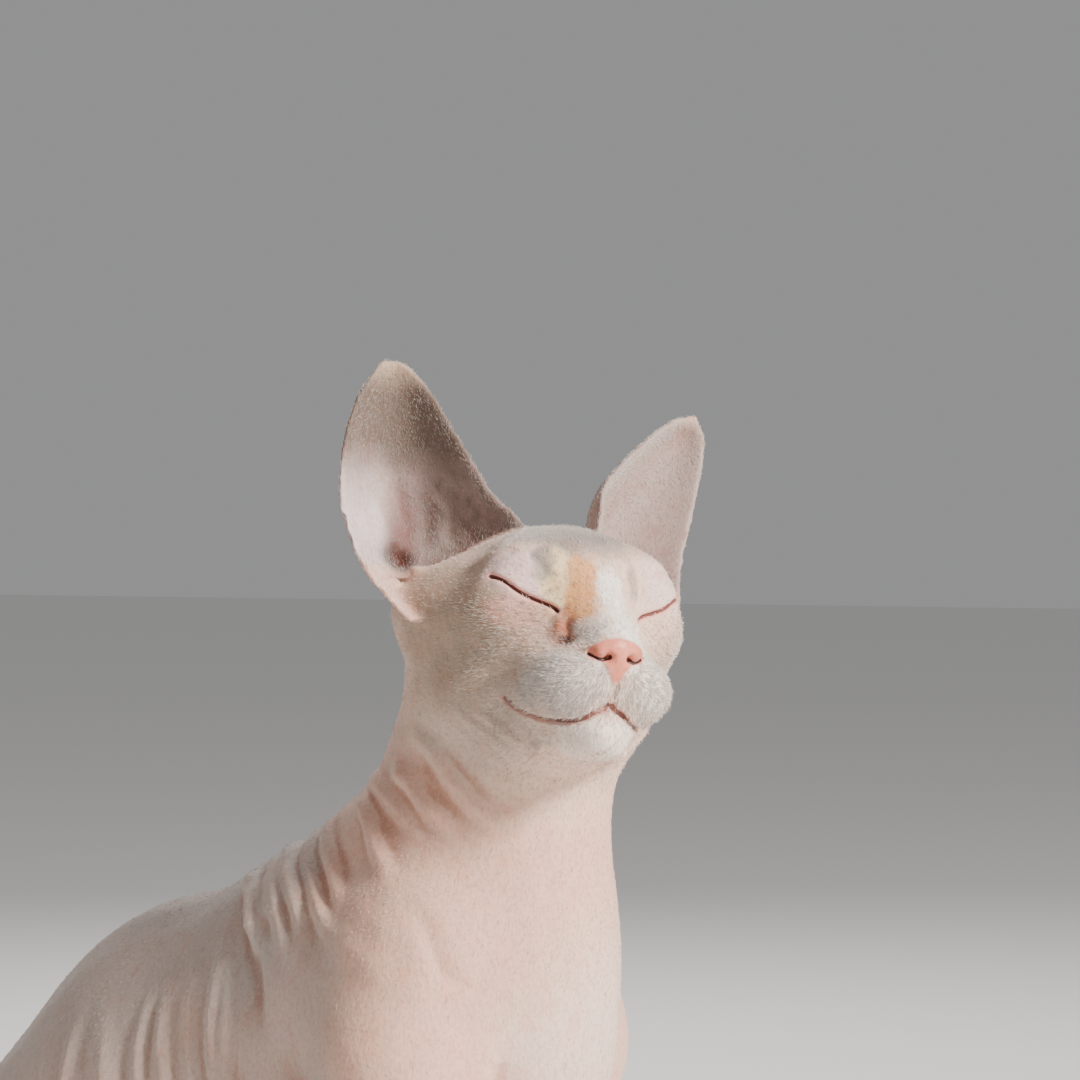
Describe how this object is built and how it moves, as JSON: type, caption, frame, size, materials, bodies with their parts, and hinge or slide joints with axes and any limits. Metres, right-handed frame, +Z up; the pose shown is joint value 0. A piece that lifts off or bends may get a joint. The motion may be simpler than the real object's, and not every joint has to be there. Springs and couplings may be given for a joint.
{
  "type": "sphynx cat",
  "caption": "Life-size hairless cat, sitting upright with its head raised and turned, its eyes closed and its skin in folds on the neck and flanks.",
  "frame": {"origin": "on the floor, below the middle of the whole cat's bounding box", "axes": "+Z up, -Y the way the body faces, +X the cat's left"},
  "size_m": [0.1934, 0.3526, 0.4174],
  "materials": {
    "skin": "bare wrinkled skin with very short down, cream and pale pink, grey on the back and crown",
    "ear": "thin bare skin, grey-brown inside, pink at the canal",
    "nose": "smooth, slightly moist, salmon orange"
  },
  "bodies": {
    "root": {"head": "skin", "nose": "nose", "eyelid_upper_right": "skin", "eyelid_lower_right": "skin", "eyelid_upper_left": "skin", "eyelid_lower_left": "skin", "ear_right": "ear", "ear_left": "ear", "neck": "skin", "torso": "skin", "shoulder_right": "skin", "forearm_right": "skin", "forepaw_right": "skin", "shoulder_left": "skin", "forearm_left": "skin", "forepaw_left": "skin", "hindleg_right": "skin", "hindfoot_right": "skin", "hindleg_left": "skin", "hindfoot_left": "skin", "tail_root": "skin", "tail_middle": "skin", "tail_tip": "skin"}
  },
  "joints": []
}
